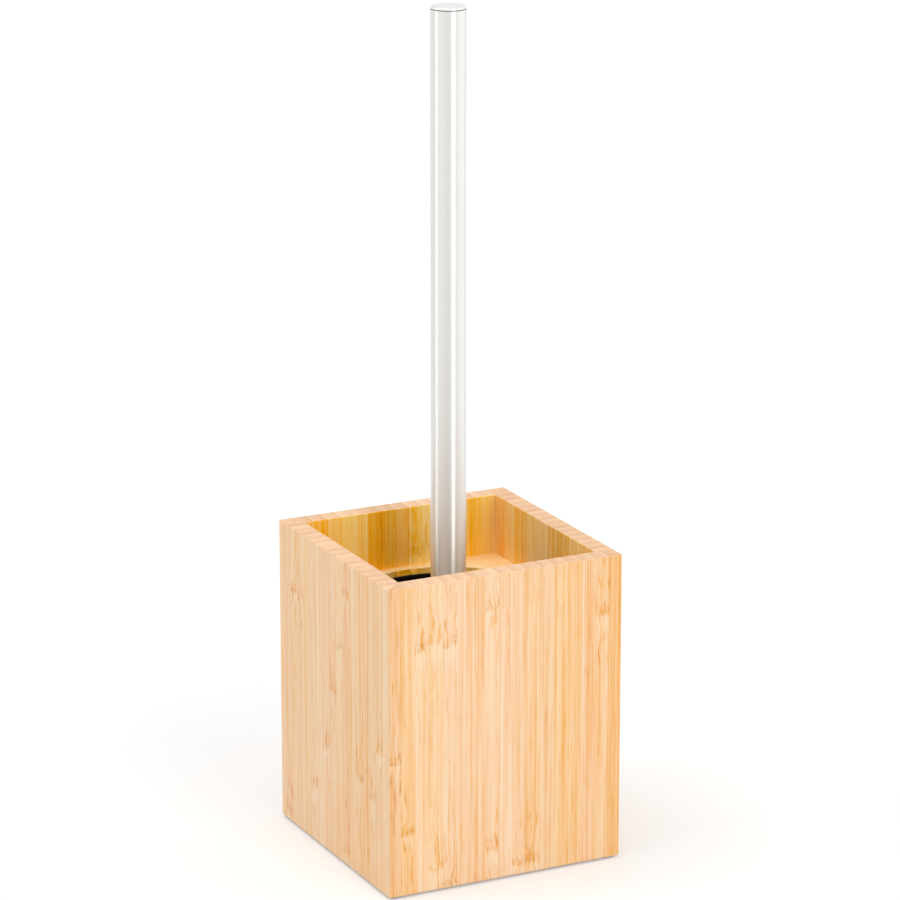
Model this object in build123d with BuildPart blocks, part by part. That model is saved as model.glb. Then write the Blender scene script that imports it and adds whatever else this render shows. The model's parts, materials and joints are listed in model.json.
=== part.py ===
import os
from math import cos, radians, sin, tan

from build123d import *

# A toilet brush that stands in a square bamboo box. The origin is on the floor, under the middle of the
# box. +X runs along the front panel to the right, +Y runs from the front panel to the back, +Z is up.
# All lengths are in millimetres and all angles in degrees.

# Bamboo box
box_width = 120.0            # outside width and depth of the square box
wall_height = 149.0          # walls alone, without the foot pads
wall_thickness = 9.5
corner_radius = 0.8          # rounded upright corners of the box
edge_ease = 0.5              # sanded bevel along the rim and along the lower outside edges
groove_depth = 3.0           # grooves in the walls that hold the shelf and the base
glue_gap = 0.1               # room for glue round a panel's edge in its groove

# Shelf with the round hole, and the floor of the box
shelf_depth = 29.5           # from the rim down to the shelf's top face
shelf_thickness = 6.0
hole_ledge = 3.7             # wood left between the hole and each wall, at the narrowest place
hole_ease = 0.5              # sanded bevel of the hole's upper edge
base_thickness = 6.0
base_recess = 5.0            # from the walls' lower edges up to the base

# Anti-slip pads under the four corners
foot_diameter = 8.0
foot_height = 1.0

# Lift-out liner cup, moulded in plastic
liner_clearance = 0.5        # between the cup's rim and the hole in the shelf
liner_drop = 3.0             # from the shelf's top face down to the cup's rim
liner_wall = 1.8
liner_floor = 2.0
liner_draft = 1.0            # lean of the cup's wall, so that it leaves its mould
liner_ring_width = 4.0       # ring that the cup stands on
liner_ring_height = 1.0
liner_foot_bevel = 1.5       # outside the cup's foot
liner_floor_bevel = 4.0      # inside, where the wall meets the floor

# Steel handle
handle_length = 293.5        # tube and cap together
tube_diameter = 16.7
tube_wall = 1.2
cap_thickness = 1.2
cap_bevel = 0.6              # bevelled upper edge of the cap
seam_bevel = 0.25            # small bevels that show the seam between cap and tube
spigot_length = 10.0         # part of the cap that sits inside the tube
insert_length = 20.0         # threaded bush in the tube's lower end
press_gap = 0.03             # between the tube and what is pressed into it

# Stud that the handle screws on
stud_diameter = 8.0
stud_pitch = 1.25
stud_turns = 10              # turns that free the handle
stud_depth = 16.0            # length of the stud inside the head
stud_bevel = 0.8
thread_clearance = 0.1

# Brush head
tip_clearance = 0.3          # from the lowest bristles down to the cup's floor
bristle_clearance = 2.7      # from the side bristles to the cup's wall at its floor
backing_diameter = 28.0      # face that the bristles stand on
backing_thickness = 2.5
backing_gap = 0.05           # between the backing and the core inside it
neck_height = 10.0           # cone from the head up to the handle
neck_collar = 2.0            # straight collar that the handle's end rests on

# Bristles: each strand is one four-sided tuft that spreads towards its end
strand_root = 1.4            # side of a strand where it leaves the backing
strand_end = 2.2             # side of a strand at its outer end
strand_bury = 1.2            # length of a strand inside the backing
row_pitch = 5.2              # height from one row of side strands to the next
row_count = 8
strands_per_row = 28
row_margin = 2.0             # from the end rows to the ends of the side backing
tip_ring_counts = (24, 24, 24, 24, 24, 12, 6)   # strands in each ring at the tip, from the side down

# Levels and radii that follow from these sizes
half_width = box_width / 2
half_inside = half_width - wall_thickness
rim_level = foot_height + wall_height
shelf_top = rim_level - shelf_depth
shelf_bottom = shelf_top - shelf_thickness
base_bottom = foot_height + base_recess
base_top = base_bottom + base_thickness
panel_span = 2 * (half_inside + groove_depth - glue_gap)

hole_radius = half_inside - hole_ledge
liner_rim = shelf_top - liner_drop
liner_rim_radius = hole_radius - liner_clearance
liner_lean = (liner_rim - base_top) * tan(radians(liner_draft))
liner_foot_radius = liner_rim_radius - liner_lean
liner_wall_across = liner_wall / cos(radians(liner_draft))
liner_floor_under = base_top + liner_ring_height
liner_floor_top = liner_floor_under + liner_floor
floor_lean = (liner_floor_top - base_top) * tan(radians(liner_draft))
liner_floor_radius = liner_foot_radius + floor_lean - liner_wall_across

head_radius = liner_floor_radius - bristle_clearance
backing_radius = backing_diameter / 2
sleeve_flats = 2 * strands_per_row
dome_flats = max(tip_ring_counts)
tip_ring_step = 90 / (len(tip_ring_counts) + 0.5)
core_radius = backing_radius - backing_thickness
tip_centre = liner_floor_top + tip_clearance + head_radius
side_height = (row_count - 1) * row_pitch + 2 * row_margin
head_top = tip_centre + side_height
neck_top = head_top + neck_height
handle_bottom = neck_top + neck_collar

tube_radius = tube_diameter / 2
bore_radius = tube_radius - tube_wall
handle_top = handle_bottom + handle_length
tube_top = handle_top - cap_thickness
stud_radius = stud_diameter / 2
stud_reach = stud_turns * stud_pitch
stud_bottom = handle_bottom - stud_depth

os.makedirs("parts", exist_ok=True)


def save(part, name):
    part.label = name
    export_step(part, f"parts/{name}.step")


def is_mitre(edge):
    direction = edge % 0.5
    return abs(abs(direction.X) - abs(direction.Y)) < 0.01


# The four walls: one mitred board with two grooves across its inner face, turned to each side
with BuildPart() as wall_board:
    with BuildSketch(Plane.XY.offset(foot_height)):
        with BuildLine():
            arc_centre = half_width - corner_radius
            outer_edge = Line((-arc_centre, -half_width), (arc_centre, -half_width))
            right_round = CenterArc((arc_centre, -arc_centre), corner_radius, -90, 45)
            right_mitre = Line(right_round @ 1, (half_inside, -half_inside))
            inner_edge = Line(right_mitre @ 1, (-half_inside, -half_inside))
            left_round = CenterArc((-arc_centre, -arc_centre), corner_radius, 225, 45)
            left_mitre = Line(inner_edge @ 1, left_round @ 0)
        make_face()
    extrude(amount=wall_height)
    rim_face = wall_board.faces().sort_by(Axis.Z)[-1]
    lower_face = wall_board.faces().sort_by(Axis.Z)[0]
    rim_edges = [edge for edge in rim_face.edges() if not is_mitre(edge)]
    lower_edges = [edge for edge in lower_face.edges() if not is_mitre(edge)]
    lower_outside = ShapeList(lower_edges).filter_by(lambda edge: edge.center().Y < -half_inside - edge_ease)
    chamfer([*rim_edges, *lower_outside], length=edge_ease)
    groove_middle = -half_inside - groove_depth / 2
    for groove_bottom, groove_width in ((shelf_bottom, shelf_thickness), (base_bottom, base_thickness)):
        with Locations((0, groove_middle, groove_bottom + groove_width / 2)):
            Box(box_width, groove_depth, groove_width, mode=Mode.SUBTRACT)

wall_turns = {"front_panel": 0, "right_panel": 90, "back_panel": 180, "left_panel": 270}
for wall_name, wall_turn in wall_turns.items():
    with BuildPart() as wall:
        add(wall_board.part.rotate(Axis.Z, wall_turn))
    save(wall.part, wall_name)

# The shelf, held in the upper grooves
with BuildPart() as shelf_panel:
    with BuildSketch(Plane.XY.offset(shelf_bottom)):
        Rectangle(panel_span, panel_span)
        Circle(hole_radius, mode=Mode.SUBTRACT)
    extrude(amount=shelf_thickness)
    hole_edge = shelf_panel.edges().filter_by(GeomType.CIRCLE).sort_by(Axis.Z)[-1]
    chamfer(hole_edge, length=hole_ease)
save(shelf_panel.part, "shelf_panel")

# The floor of the box, held in the lower grooves
with BuildPart() as base_panel:
    with BuildSketch(Plane.XY.offset(base_bottom)):
        Rectangle(panel_span, panel_span)
    extrude(amount=base_thickness)
save(base_panel.part, "base_panel")

# The pads, each under the middle of a corner joint
foot_offset = half_width - wall_thickness / 2
foot_places = {
    "foot_pad_front_left": (-foot_offset, -foot_offset),
    "foot_pad_front_right": (foot_offset, -foot_offset),
    "foot_pad_back_left": (-foot_offset, foot_offset),
    "foot_pad_back_right": (foot_offset, foot_offset),
}
for foot_name, foot_place in foot_places.items():
    with BuildPart() as foot_pad:
        with BuildSketch():
            with Locations(foot_place):
                Circle(foot_diameter / 2)
        extrude(amount=foot_height)
    save(foot_pad.part, foot_name)

# The liner cup, turned from one section of its wall, floor and standing ring
with BuildPart() as liner_cup:
    with BuildSketch(Plane.XZ) as liner_section:
        with BuildLine():
            ring_inside = liner_foot_radius - liner_ring_width
            Polyline(
                (0, liner_floor_under),
                (ring_inside, liner_floor_under),
                (ring_inside, base_top),
                (liner_foot_radius, base_top),
                (liner_rim_radius, liner_rim),
                (liner_rim_radius - liner_wall_across, liner_rim),
                (liner_floor_radius, liner_floor_top),
                (0, liner_floor_top),
                close=True,
            )
        make_face()
        bevels = {
            (liner_foot_radius, base_top): liner_foot_bevel,
            (liner_floor_radius, liner_floor_top): liner_floor_bevel,
        }
        for corner, bevel in bevels.items():
            chamfer(liner_section.vertices().sort_by_distance(corner)[0], length=bevel)
    revolve(axis=Axis.Z)
save(liner_cup.part, "liner_cup")

# The handle's tube, with bevels at both ends
with BuildPart() as handle_tube:
    with BuildSketch(Plane.XY.offset(handle_bottom)):
        Circle(tube_radius)
        Circle(bore_radius, mode=Mode.SUBTRACT)
    extrude(amount=tube_top - handle_bottom)
    outside_edges = handle_tube.edges().filter_by(GeomType.CIRCLE).group_by(SortBy.RADIUS)[-1]
    chamfer(outside_edges, length=seam_bevel)
save(handle_tube.part, "handle_tube")

# The cap, with its spigot inside the tube
with BuildPart() as handle_cap:
    with BuildSketch(Plane.XY.offset(tube_top)):
        Circle(tube_radius)
    extrude(amount=cap_thickness)
    cap_edges = handle_cap.edges().filter_by(GeomType.CIRCLE).sort_by(Axis.Z)
    chamfer(cap_edges[-1], length=cap_bevel)
    chamfer(cap_edges[0], length=seam_bevel)
    with BuildSketch(Plane.XY.offset(tube_top)):
        Circle(bore_radius - press_gap)
    extrude(amount=-spigot_length)
save(handle_cap.part, "handle_cap")

# The threaded bush in the tube's lower end
with BuildPart() as handle_insert:
    with BuildSketch(Plane.XY.offset(handle_bottom)):
        Circle(bore_radius - press_gap)
        Circle(stud_radius + thread_clearance, mode=Mode.SUBTRACT)
    extrude(amount=insert_length)
    mouth_edges = handle_insert.edges().filter_by(GeomType.CIRCLE).group_by(SortBy.RADIUS)[0]
    chamfer(mouth_edges.sort_by(Axis.Z)[0], length=stud_bevel)
save(handle_insert.part, "handle_insert")

# The stud, half in the head and half in the handle
with BuildPart() as head_stud:
    with BuildSketch(Plane.XY.offset(stud_bottom)):
        Circle(stud_radius)
    extrude(amount=stud_depth + stud_reach)
    chamfer(head_stud.edges().filter_by(GeomType.CIRCLE).sort_by(Axis.Z)[-1], length=stud_bevel)
save(head_stud.part, "head_stud")

# The core of the head: a bar, a shoulder and a cone up to the handle
with BuildPart() as brush_core:
    with BuildSketch(Plane.XZ):
        with BuildLine():
            bar_end = Line((0, tip_centre), (core_radius, tip_centre))
            bar_side = Line(bar_end @ 1, (core_radius, head_top))
            shoulder = Line(bar_side @ 1, (backing_radius, head_top))
            neck = Line(shoulder @ 1, (tube_radius, neck_top))
            collar = Line(neck @ 1, (tube_radius, handle_bottom))
            rest = Line(collar @ 1, (0, handle_bottom))
            Line(rest @ 1, bar_end @ 0)
        make_face()
    revolve(axis=Axis.Z)
    with Locations((0, 0, handle_bottom)):
        Hole(radius=stud_radius + thread_clearance, depth=stud_depth)
save(brush_core.part, "brush_core")


def strand_place(around, drop, level):
    turned = Pos(0, 0, level) * Rot(0, 0, around - 90) * Rot(-drop, 0, 0)
    return turned * Pos(0, backing_radius - strand_bury, 0)


def make_strands(places):
    spread = (strand_end - strand_root) / 2
    with Locations(*places):
        Wedge(
            strand_root,
            head_radius - backing_radius + strand_bury,
            strand_root,
            -spread,
            -spread,
            strand_root + spread,
            strand_root + spread,
            align=(Align.CENTER, Align.MIN, Align.CENTER),
        )


# The side bristles, in rows that are staggered by half a step, on a sleeve with a flat for every strand
side_places = []
for row in range(row_count):
    row_level = tip_centre + row_margin + row * row_pitch
    for strand in range(strands_per_row):
        around = (strand + 0.5 * (row % 2)) * 360 / strands_per_row
        side_places.append(strand_place(around, 0, row_level))

with BuildPart() as side_bristles:
    with BuildSketch(Plane.XY.offset(tip_centre)):
        RegularPolygon(backing_radius, sleeve_flats, rotation=180 / sleeve_flats)
        Circle(core_radius + backing_gap, mode=Mode.SUBTRACT)
    extrude(amount=side_height)
    make_strands(side_places)
save(side_bristles.part, "side_bristles")

# The tip bristles, in rings on a dome of flats below the core, and one strand straight down
tip_places = [strand_place(0, 90, tip_centre)]
for ring, ring_count in enumerate(tip_ring_counts):
    for strand in range(ring_count):
        around = (strand + 0.5 * (ring % 2)) * 360 / ring_count
        tip_places.append(strand_place(around, (ring + 0.5) * tip_ring_step, tip_centre))

with BuildPart() as tip_bristles:
    for ring in range(len(tip_ring_counts) + 1):
        drop = radians(ring * tip_ring_step)
        with BuildSketch(Plane.XY.offset(tip_centre - backing_radius * sin(drop))):
            RegularPolygon(backing_radius * cos(drop), dome_flats, rotation=180 / dome_flats)
    loft(ruled=True)
    make_strands(tip_places)
save(tip_bristles.part, "tip_bristles")

print("strands:", len(side_places), "round the side and", len(tip_places), "at the tip")
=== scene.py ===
import json
import math
import random

import bmesh
import bpy
from mathutils import Matrix, Vector


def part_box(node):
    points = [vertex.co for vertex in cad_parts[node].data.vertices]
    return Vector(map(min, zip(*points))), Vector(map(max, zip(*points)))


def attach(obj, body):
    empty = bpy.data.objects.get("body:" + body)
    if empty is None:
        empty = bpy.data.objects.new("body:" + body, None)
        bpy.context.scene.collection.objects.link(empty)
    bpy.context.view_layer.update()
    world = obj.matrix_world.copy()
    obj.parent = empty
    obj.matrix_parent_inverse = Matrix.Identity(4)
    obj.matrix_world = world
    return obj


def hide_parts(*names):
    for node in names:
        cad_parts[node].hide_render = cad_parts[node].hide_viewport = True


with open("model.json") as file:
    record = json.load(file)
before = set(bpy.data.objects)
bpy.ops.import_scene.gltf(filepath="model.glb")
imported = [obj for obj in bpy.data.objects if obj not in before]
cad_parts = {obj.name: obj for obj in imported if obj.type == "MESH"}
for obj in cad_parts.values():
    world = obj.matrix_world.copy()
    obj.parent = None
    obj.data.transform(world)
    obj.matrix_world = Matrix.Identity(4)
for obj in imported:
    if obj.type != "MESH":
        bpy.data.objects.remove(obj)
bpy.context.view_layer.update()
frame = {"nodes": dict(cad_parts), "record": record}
nodes = frame["nodes"]
record = frame["record"]
scene = bpy.context.scene
mm = 0.001   # sizes below are in millimetres, Blender works in metres
bodyOf = {node: body for body, members in record["behaviour"]["bodies"].items() for node in members}
print("frame loaded:", len(nodes), "nodes")


# Small helpers

mergeGap = 1e-6           # in metres: points this close are one
cutGap = 1e-7             # in metres: points this close to a cut lie on it
noiseRange = (0.3, 0.7)   # most of a noise's values lie between these
mixedColour = 2           # a Mix node's result; its share is input 0, its two colours are inputs 6 and 7


def tint(hexCode):
    channels = [int(hexCode[i:i + 2], 16) / 255 for i in (1, 3, 5)]
    linear = [c / 12.92 if c <= 0.04045 else ((c + 0.055) / 1.055) ** 2.4 for c in channels]
    return (*linear, 1.0)


# A list fills sockets in order, a dictionary by number or name. A node stands for its first output, and a Mix
# node for its mixed colour
def wire(tree, node, sockets):
    for key, value in sockets.items() if isinstance(sockets, dict) else enumerate(sockets):
        if isinstance(value, bpy.types.Node):
            value = value.outputs[mixedColour if value.bl_idname == "ShaderNodeMix" else 0]
        if isinstance(value, bpy.types.NodeSocket):
            tree.links.new(value, node.inputs[key])
        else:
            node.inputs[key].default_value = value
    return node


def addNode(tree, kind, sockets=(), **settings):
    node = tree.nodes.new(kind)
    for key, value in settings.items():
        setattr(node, key, value)
    return wire(tree, node, sockets)


def newMaterial(name):
    material = bpy.data.materials.new(name)
    material.use_nodes = True
    tree = material.node_tree
    tree.nodes.clear()
    shader = addNode(tree, "ShaderNodeBsdfPrincipled")
    addNode(tree, "ShaderNodeOutputMaterial", {"Surface": shader})
    coords = addNode(tree, "ShaderNodeTexCoord").outputs["Object"]
    return material, tree, shader, coords


def boxInMm(node):
    low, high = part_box(node)
    return low / mm, high / mm


def showMesh(name, mesh, smoothAngle):
    mesh.shade_smooth()
    mesh.set_sharp_from_angle(angle=math.radians(smoothAngle))
    piece = bpy.data.objects.new(name, mesh)
    scene.collection.objects.link(piece)
    return piece


def newPiece(name, bm, materials, smoothAngle=35):
    mesh = bpy.data.meshes.new(name)
    bm.to_mesh(mesh)
    bm.free()
    for material in materials:
        mesh.materials.append(material)
    return showMesh(name, mesh, smoothAngle)


def seat(piece, node):
    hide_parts(node)
    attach(piece, bodyOf[node])


# Corners are (x, y, rounding); rounded ones become arcs with a short holding edge on each side
def roundedOutline(corners, arcSteps=5, hold=0.2):
    points = []
    for i, (x, y, rounding) in enumerate(corners):
        here = Vector((x, y))
        if rounding == 0:
            points.append(here)
            continue
        toLast = (Vector(corners[i - 1][:2]) - here).normalized()
        toNext = (Vector(corners[(i + 1) % len(corners)][:2]) - here).normalized()
        halfAngle = toLast.angle(toNext) / 2
        reach = rounding / math.tan(halfAngle)
        centre = here + (toLast + toNext).normalized() * (rounding / math.sin(halfAngle))
        start = here + toLast * reach - centre
        end = here + toNext * reach - centre
        firstAngle = math.atan2(start.y, start.x)
        sweep = math.atan2(start.x * end.y - start.y * end.x, start.dot(end))
        points.append(here + toLast * reach * (1 + hold))
        for step in range(arcSteps + 1):
            angle = firstAngle + sweep * step / arcSteps
            points.append(centre + rounding * Vector((math.cos(angle), math.sin(angle))))
        points.append(here + toNext * reach * (1 + hold))
    return points


# Turns an outline of (radius, height) about an upright axis: a ring section, or a line from axis to axis
def latheInto(bm, corners, closed, place=(0, 0), turnSteps=128, materialIndex=0):
    rings = []
    for point in roundedOutline(corners):
        if point.x * mm < mergeGap:   # on the axis
            rings.append([bm.verts.new((place[0] * mm, place[1] * mm, point.y * mm))])
            continue
        ring = []
        for step in range(turnSteps):
            angle = 2 * math.pi * step / turnSteps
            x = place[0] + point.x * math.cos(angle)
            y = place[1] + point.x * math.sin(angle)
            ring.append(bm.verts.new((x * mm, y * mm, point.y * mm)))
        rings.append(ring)
    made = []
    for i in range(len(rings) if closed else len(rings) - 1):
        first, second = rings[i], rings[(i + 1) % len(rings)]
        for step in range(turnSteps):
            ahead = (step + 1) % turnSteps
            corner = [first[step % len(first)], first[ahead % len(first)],
                      second[ahead % len(second)], second[step % len(second)]]
            face = bm.faces.new(list(dict.fromkeys(corner)))
            face.material_index = materialIndex
            made.append(face)
    bmesh.ops.recalc_face_normals(bm, faces=made)


def lathe(name, corners, material, closed=False, place=(0, 0), turnSteps=128):
    bm = bmesh.new()
    latheInto(bm, corners, closed, place, turnSteps)
    return newPiece(name, bm, [material])


# Camera, solved from the corners of the box and from the handle
camera = {
    "place": (-0.8237, -1.6508, 0.7339), "aim": (0.0238, 0.0459, 0.1771),   # in metres
    "lens": 165.38, "sensor": 36.0,
}
cameraData = bpy.data.cameras.new("photoCamera")
cameraData.lens = camera["lens"]
cameraData.sensor_width = camera["sensor"]
cameraObject = bpy.data.objects.new("photoCamera", cameraData)
cameraObject.location = camera["place"]
cameraView = Vector(camera["aim"]) - Vector(camera["place"])
cameraObject.rotation_euler = cameraView.to_track_quat("-Z", "Y").to_euler()
scene.collection.objects.link(cameraObject)
scene.camera = cameraObject
print("camera placed")


# Bamboo, edge-glued from planed strips, sanded and given a thin matt lacquer: pale straw ground with long
# honey fibres, a step in tone from strip to strip, short brown dashes at the knuckles, speckled end grain
bambooLook = {
    "outside": ("#FBDDBA", "#F8CB9A", "#F1B36D", "#DF9850"),   # from the palest fibre to the deepest
    "inside": ("#FFDD8C", "#FFCA54", "#FFB818", "#F49C00"),    # painted bounce light: warmer, as light goes from wall to wall there
    "toneStops": (0.4, 0.75),                                  # where the two middle tones lie on the ramp
    "scar": "#D9994A", "endPale": "#F6D0A8", "endDark": "#D29A6A",
    # How much each layer deepens the tone, with the shift that brings their sum to the middle of the ramp
    "weights": {"fibre": 1.45, "band": 0.6, "fleck": 0.55, "joint": 0.3, "stain": 0.3, "pale": -0.2,
                "stripTone": 0.5},
    "shift": -0.92,
    "insideWeights": {"stripTone": 0.45, "fibre": 0.6},
    "insideShift": -0.56,
    "hueSpread": 0.003, "satSpread": 0.08,
    # Distances from a knuckle in mm, where its marks are full and where they are gone
    "dashReach": (0.8, 3.2), "nearReach": (0.0, 45.0), "stainReach": (0.5, 6.5),
    "paleReach": (-14.0, -4.0), "paleStart": -2.0,             # the pale patch below it, from gone to full
    "lineWander": 5.5, "swerve": 4.5,                          # of the knuckle's line, and of fibres near it
    # The part of each noise that shows, and what it is turned to
    "dashCut": (0.46, 0.68), "fadeCut": (0.35, 0.65), "fadeShare": (0.15, 0.6), "stainCut": (0.42, 0.6),
    "fleckCut": (0.54, 0.72), "poreCut": (0.4, 0.66), "poreTone": (-0.12, 0.3),
    "fleckShare": (0.3, 1.0),                                  # far from a knuckle, and at one
    "jointWidth": 0.35, "stripPitch": 7.15,
    "skinDensity": -0.42, "endTone": (0.5, 0.32), "endCut": (0.5, 0.9),
    "roughness": (0.44, 0.58), "scarDent": -0.3, "bump": 0.25, "bumpHeight": 0.06, "ior": 1.46,
    "lacquer": (0.5, 0.15),                                    # thinner on the inner faces
}
wide = 1000.0   # a size so large that the pattern stays the same along that axis
# Size in mm across, through and along the strip, then detail, and the shift from strip to strip
bambooPatterns = {
    "wander": (4.5, wide, wide, 1.0, 3.7),
    "dash": (0.95, 0.95, 2.6, 1.0, 8.3),
    "dashFade": (2.6, wide, wide, 1.0, 5.9),
    "stain": (1.4, 1.4, 2.8, 2.0, 6.7),
    "swerve": (4.5, 4.5, 13.0, 1.0, 2.9),
    "fibre": (0.8, 0.8, 90.0, 3.0, 11.3),
    "band": (3.0, 3.0, 150.0, 1.0, 7.1),
    "fleck": (1.5, 1.5, 12.0, 1.0, 4.3),
    "pore": (0.5, 0.5, 0.5, 2.0, 6.1),
}
stripLayers = ("stripTone", "stripSeed", "stripStart", "knuckleHigh", "knuckleLow", "skinSide", "endGrain",
               "inside")


def makeBamboo(name, across, through, along):
    look = bambooLook
    material, tree, shader, coords = newMaterial(name)
    inMm = addNode(tree, "ShaderNodeVectorMath", {0: coords, "Scale": 1 / mm}, operation="SCALE")
    axes = addNode(tree, "ShaderNodeSeparateXYZ", [inMm]).outputs
    u, v, w = axes[across], axes[through], axes[along]
    strip = {}
    for value in stripLayers:
        strip[value] = addNode(tree, "ShaderNodeAttribute", attribute_name=value).outputs["Fac"]

    def pattern(kind, uSource):
        *sizes, detail, spread = bambooPatterns[kind]
        parts = []
        for source, size in zip((uSource, v, w), sizes):
            parts.append(addNode(tree, "ShaderNodeMath", [source, 1 / size], operation="MULTIPLY"))
        place = addNode(tree, "ShaderNodeCombineXYZ", parts)
        shift = addNode(tree, "ShaderNodeMath", [strip["stripSeed"], spread], operation="MULTIPLY")
        moved = addNode(tree, "ShaderNodeVectorMath", [place, shift], operation="ADD")
        return addNode(tree, "ShaderNodeTexNoise", {"Vector": moved, "Scale": 1.0, "Detail": detail})

    # Knuckles: a wandering line of short brown dashes that fade in and out along it
    halfWander = look["lineWander"] / 2
    wander = addNode(tree, "ShaderNodeMapRange", [pattern("wander", u), 0.0, 1.0, -halfWander, halfWander])
    pairs = []
    for knuckle in ("knuckleHigh", "knuckleLow"):
        above = addNode(tree, "ShaderNodeMath", [w, strip[knuckle]], operation="SUBTRACT")
        edge = addNode(tree, "ShaderNodeMath", [above, wander], operation="ADD")
        away = addNode(tree, "ShaderNodeMath", [edge], operation="ABSOLUTE")
        fades = []
        for reach in ("dashReach", "nearReach", "stainReach"):
            fades.append(addNode(tree, "ShaderNodeMapRange", [away, *look[reach], 1.0, 0.0],
                                 interpolation_type="SMOOTHSTEP"))
        below = addNode(tree, "ShaderNodeMapRange", [edge, *look["paleReach"]],
                        interpolation_type="SMOOTHSTEP")
        under = addNode(tree, "ShaderNodeMath", [edge, look["paleStart"]], operation="LESS_THAN")
        fades.append(addNode(tree, "ShaderNodeMath", [below, under], operation="MULTIPLY"))
        pairs.append(fades)
    marks = []
    for high, low in zip(*pairs):
        marks.append(addNode(tree, "ShaderNodeMath", [high, low], operation="MAXIMUM"))
    dashBand, near, stainBand, pale = marks
    dashes = addNode(tree, "ShaderNodeMapRange", [pattern("dash", u), *look["dashCut"]])
    dashFade = addNode(tree, "ShaderNodeMapRange", [pattern("dashFade", u), *look["fadeCut"],
                                                    *look["fadeShare"]])
    faded = addNode(tree, "ShaderNodeMath", [dashes, dashFade], operation="MULTIPLY")
    scar = addNode(tree, "ShaderNodeMath", [dashBand, faded], operation="MULTIPLY")
    blotch = addNode(tree, "ShaderNodeMapRange", [pattern("stain", u), *look["stainCut"]])
    stain = addNode(tree, "ShaderNodeMath", [stainBand, blotch], operation="MULTIPLY")

    # Fibres run straight, and swerve for some way above and below a knuckle
    swerveCentre = addNode(tree, "ShaderNodeMath", [pattern("swerve", u), 0.5], operation="SUBTRACT")
    swerve = addNode(tree, "ShaderNodeMath", [swerveCentre, near], operation="MULTIPLY")
    bent = addNode(tree, "ShaderNodeMath", [swerve, look["swerve"], u], operation="MULTIPLY_ADD")
    fibre = pattern("fibre", bent)
    band = pattern("band", bent)
    fleckAll = addNode(tree, "ShaderNodeMapRange", [pattern("fleck", bent), *look["fleckCut"]])
    fleckShare = addNode(tree, "ShaderNodeMapRange", [near, 0.0, 1.0, *look["fleckShare"]])
    fleck = addNode(tree, "ShaderNodeMath", [fleckAll, fleckShare], operation="MULTIPLY")
    fromJoint = addNode(tree, "ShaderNodeMath", [u, strip["stripStart"]], operation="SUBTRACT")
    jointAway = addNode(tree, "ShaderNodeMath", [fromJoint], operation="ABSOLUTE")
    joint = addNode(tree, "ShaderNodeMapRange", [jointAway, 0.0, look["jointWidth"], 1.0, 0.0])

    # Tone: layers add up to a depth on the ramp, one for the outside, one with painted bounce light for the
    # inner faces
    layers = {"fibre": fibre, "band": band, "fleck": fleck, "joint": joint, "stain": stain, "pale": pale,
              "stripTone": strip["stripTone"]}
    depth = look["shift"]
    for layer, weight in look["weights"].items():
        depth = addNode(tree, "ShaderNodeMath", [layers[layer], weight, depth], operation="MULTIPLY_ADD")
    insideDepth = addNode(tree, "ShaderNodeMath", [depth, look["insideShift"]], operation="ADD")
    for layer, weight in look["insideWeights"].items():
        insideDepth = addNode(tree, "ShaderNodeMath", [layers[layer], weight, insideDepth],
                              operation="MULTIPLY_ADD")
    ramps = []
    for level, tones in ((depth, look["outside"]), (insideDepth, look["inside"])):
        ramp = addNode(tree, "ShaderNodeValToRGB", [level])
        stops = ramp.color_ramp.elements
        stops[0].color = tint(tones[0])
        stops[1].color = tint(tones[3])
        for stop, tone in zip(look["toneStops"], tones[1:3]):
            stops.new(stop).color = tint(tone)
        ramps.append(ramp)
    toned = addNode(tree, "ShaderNodeMix", {0: strip["inside"], 6: ramps[0], 7: ramps[1]}, data_type="RGBA")
    scarred = addNode(tree, "ShaderNodeMix", {0: scar, 6: toned, 7: tint(look["scar"])}, data_type="RGBA")

    # Each strip is a little off in hue and in strength of colour
    stripDraw = addNode(tree, "ShaderNodeTexWhiteNoise", {"W": strip["stripSeed"]}, noise_dimensions="1D")
    draws = addNode(tree, "ShaderNodeSeparateColor", [stripDraw.outputs["Color"]]).outputs
    hueSpread, satSpread = look["hueSpread"], look["satSpread"]
    hue = addNode(tree, "ShaderNodeMapRange", [draws[0], 0.0, 1.0, 0.5 - hueSpread, 0.5 + hueSpread])
    strength = addNode(tree, "ShaderNodeMapRange", [draws[1], 0.0, 1.0, 1 - satSpread, 1 + satSpread])
    side = addNode(tree, "ShaderNodeHueSaturation", {"Hue": hue, "Saturation": strength, "Color": scarred})

    # End grain is denser towards the strip's outer skin
    pores = addNode(tree, "ShaderNodeMapRange", [pattern("pore", u), *look["poreCut"], *look["poreTone"]])
    acrossStrip = addNode(tree, "ShaderNodeMapRange", [jointAway, 0.0, look["stripPitch"]])
    fromSkin = addNode(tree, "ShaderNodeMath", [strip["skinSide"], acrossStrip], operation="SUBTRACT")
    skinAway = addNode(tree, "ShaderNodeMath", [fromSkin], operation="ABSOLUTE")
    density = addNode(tree, "ShaderNodeMath", [skinAway, look["skinDensity"], pores],
                      operation="MULTIPLY_ADD")
    endTone = addNode(tree, "ShaderNodeMath", [strip["stripTone"], *look["endTone"]],
                      operation="MULTIPLY_ADD")
    endDepth = addNode(tree, "ShaderNodeMath", [endTone, density], operation="ADD")
    end = addNode(tree, "ShaderNodeMix", {0: endDepth, 6: tint(look["endPale"]), 7: tint(look["endDark"])},
                  data_type="RGBA")
    endMask = addNode(tree, "ShaderNodeMapRange", [strip["endGrain"], *look["endCut"]])
    outward = addNode(tree, "ShaderNodeMath", [1.0, strip["inside"]], operation="SUBTRACT")
    endShare = addNode(tree, "ShaderNodeMath", [endMask, outward], operation="MULTIPLY")
    colour = addNode(tree, "ShaderNodeMix", {0: endShare, 6: side, 7: end}, data_type="RGBA")

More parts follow.
